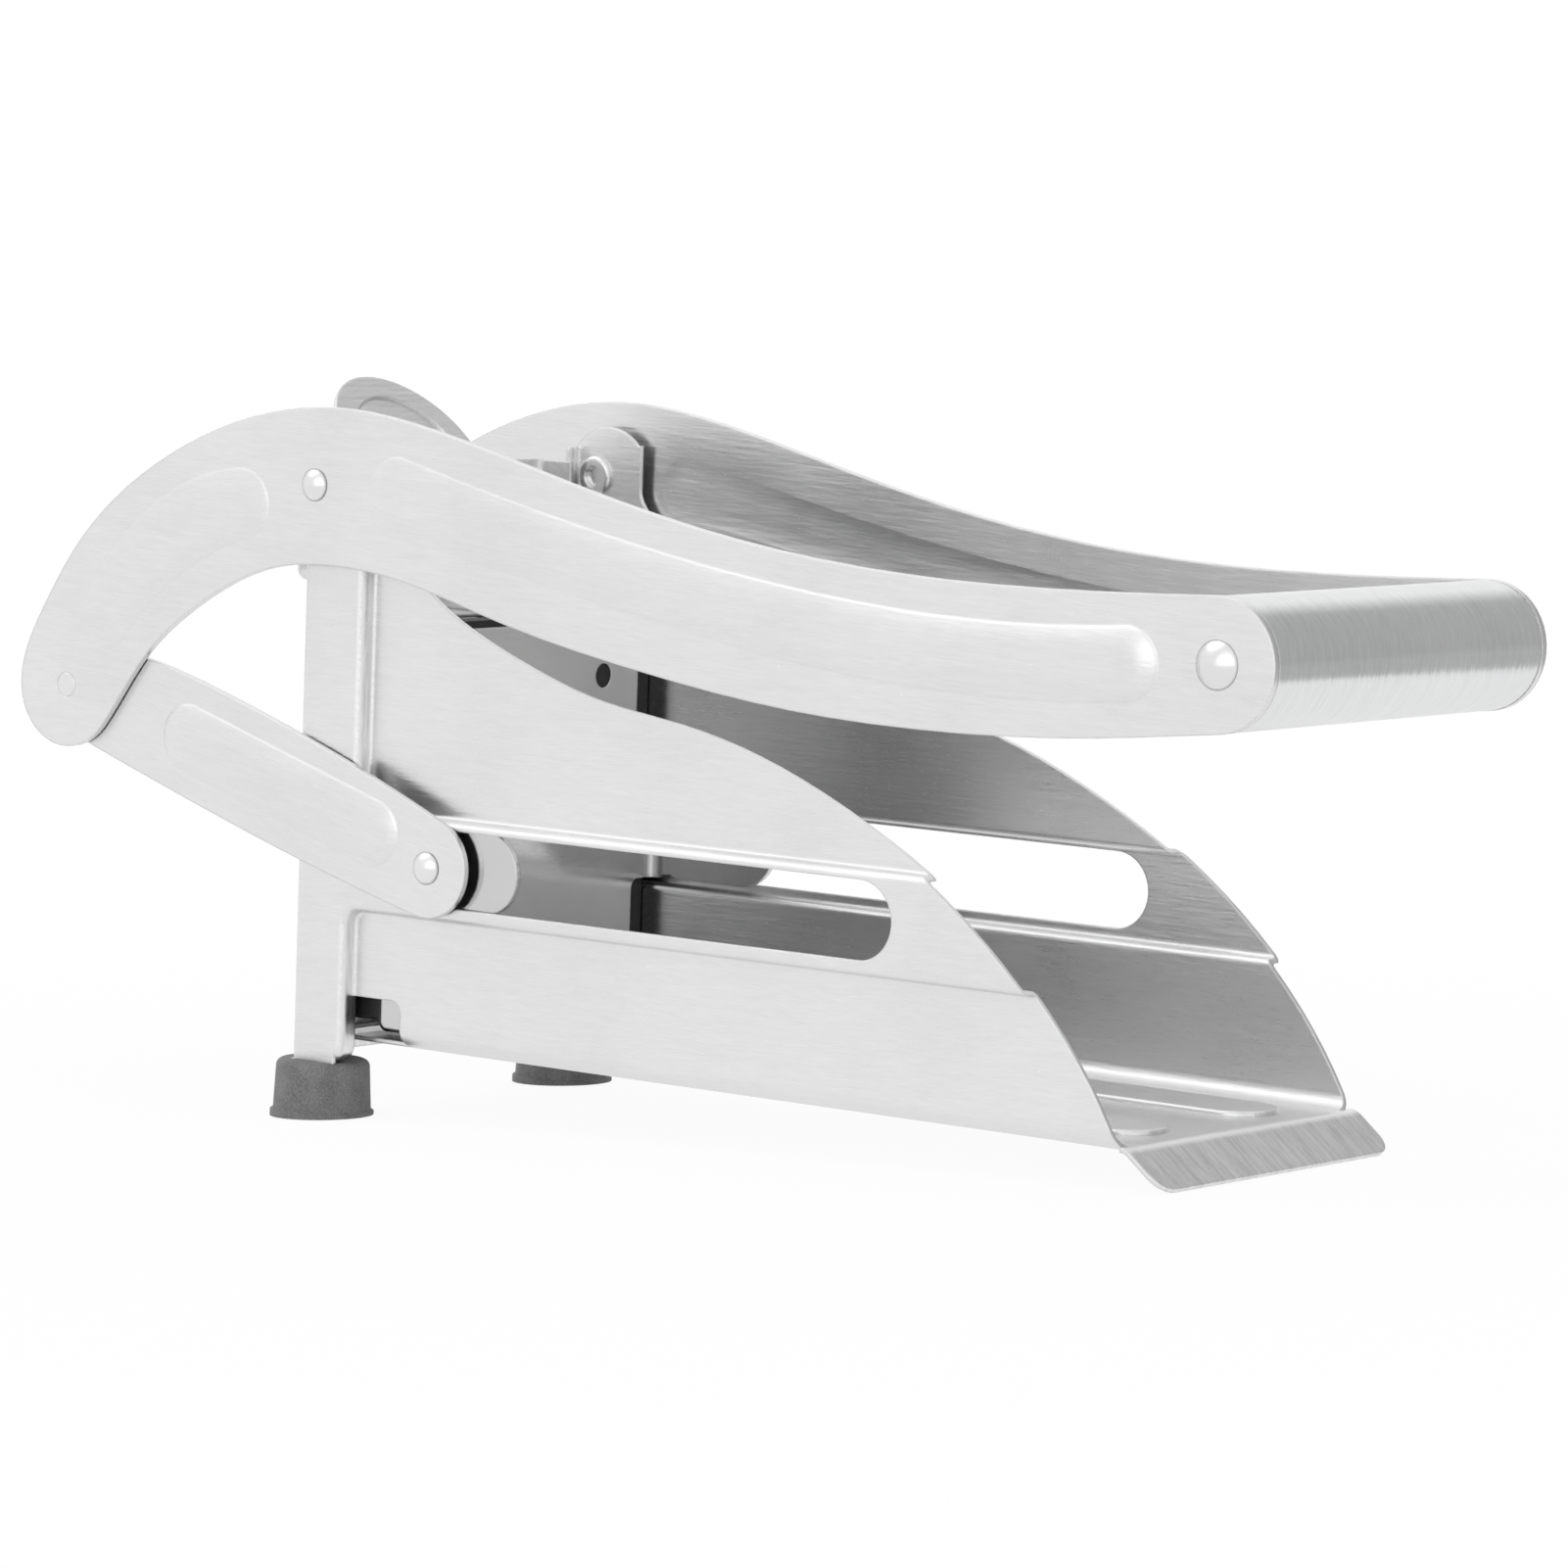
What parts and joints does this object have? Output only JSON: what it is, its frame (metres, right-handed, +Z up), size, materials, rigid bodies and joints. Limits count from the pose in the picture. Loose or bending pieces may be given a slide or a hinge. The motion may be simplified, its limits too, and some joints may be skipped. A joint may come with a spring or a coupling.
{
  "type": "french fry cutter",
  "caption": "Lever-driven potato cutter: open steel chute with a blade grid at the back and a pegged pusher drawn through it by two lever arms and links.",
  "frame": {"origin": "centre of the bounding box's base, on the table, with the handle down and the pusher home in the blade grid", "axes": "+X from the blade grid along the chute towards its lip and the handle, where the user stands; +Y across the chute; +Z up"},
  "size_m": [0.3106, 0.0974, 0.1484],
  "materials": {
    "chute_steel": "satin stainless sheet",
    "lever_steel": "satin stainless sheet",
    "tube_steel": "polished stainless tube",
    "rivet_steel": "bright turned steel",
    "blade_steel": "ground stainless strip",
    "block_plastic": "black moulded plastic",
    "plug_plastic": "black moulded plastic",
    "foot_rubber": "dark grey rubber"
  },
  "bodies": {
    "base": {"chute_body": "chute_steel", "foot_left": "foot_rubber", "foot_right": "foot_rubber", "blade_frame": "chute_steel", "pivot_rivets": "rivet_steel", "pivot_washers": "rivet_steel", "vertical_blade_1": "blade_steel", "vertical_blade_2": "blade_steel", "vertical_blade_3": "blade_steel", "vertical_blade_4": "blade_steel", "vertical_blade_5": "blade_steel", "horizontal_blade_1": "blade_steel", "horizontal_blade_2": "blade_steel", "horizontal_blade_3": "blade_steel", "horizontal_blade_4": "blade_steel", "horizontal_blade_5": "blade_steel"},
    "lever": {"lever_arm_left": "lever_steel", "lever_arm_right": "lever_steel", "handle_tube": "tube_steel", "handle_plugs": "plug_plastic", "handle_rod": "rivet_steel", "crank_rivets": "rivet_steel"},
    "pusher": {"pusher_plate": "lever_steel", "pusher_block": "block_plastic", "slot_rivets": "rivet_steel"},
    "links": {"link_left": "lever_steel", "link_right": "lever_steel", "crank_rivet_tails": "rivet_steel"}
  },
  "joints": [
    {"name": "lever_lift", "type": "hinge", "parent": "base", "child": "lever", "pos_m": [-0.07413, 0, 0.12745], "axis": [0, -1, 0], "range_deg": [0, 80]},
    {"name": "pusher_slide", "type": "slide", "parent": "base", "child": "pusher", "axis": [0.9991, 0, -0.0433], "range_m": [0, 0.10391]},
    {"name": "link_swing", "type": "hinge", "parent": "pusher", "child": "links", "pos_m": [-0.04687, 0, 0.05199], "axis": [0, -1, 0], "range_deg": [0, 16.34]}
  ],
  "couplings": [
    {"joint": "pusher_slide", "follows": "lever_lift", "m_per_rad": 0.074279},
    {"joint": "link_swing", "follows": "lever_lift", "ratio": 0.20302}
  ]
}
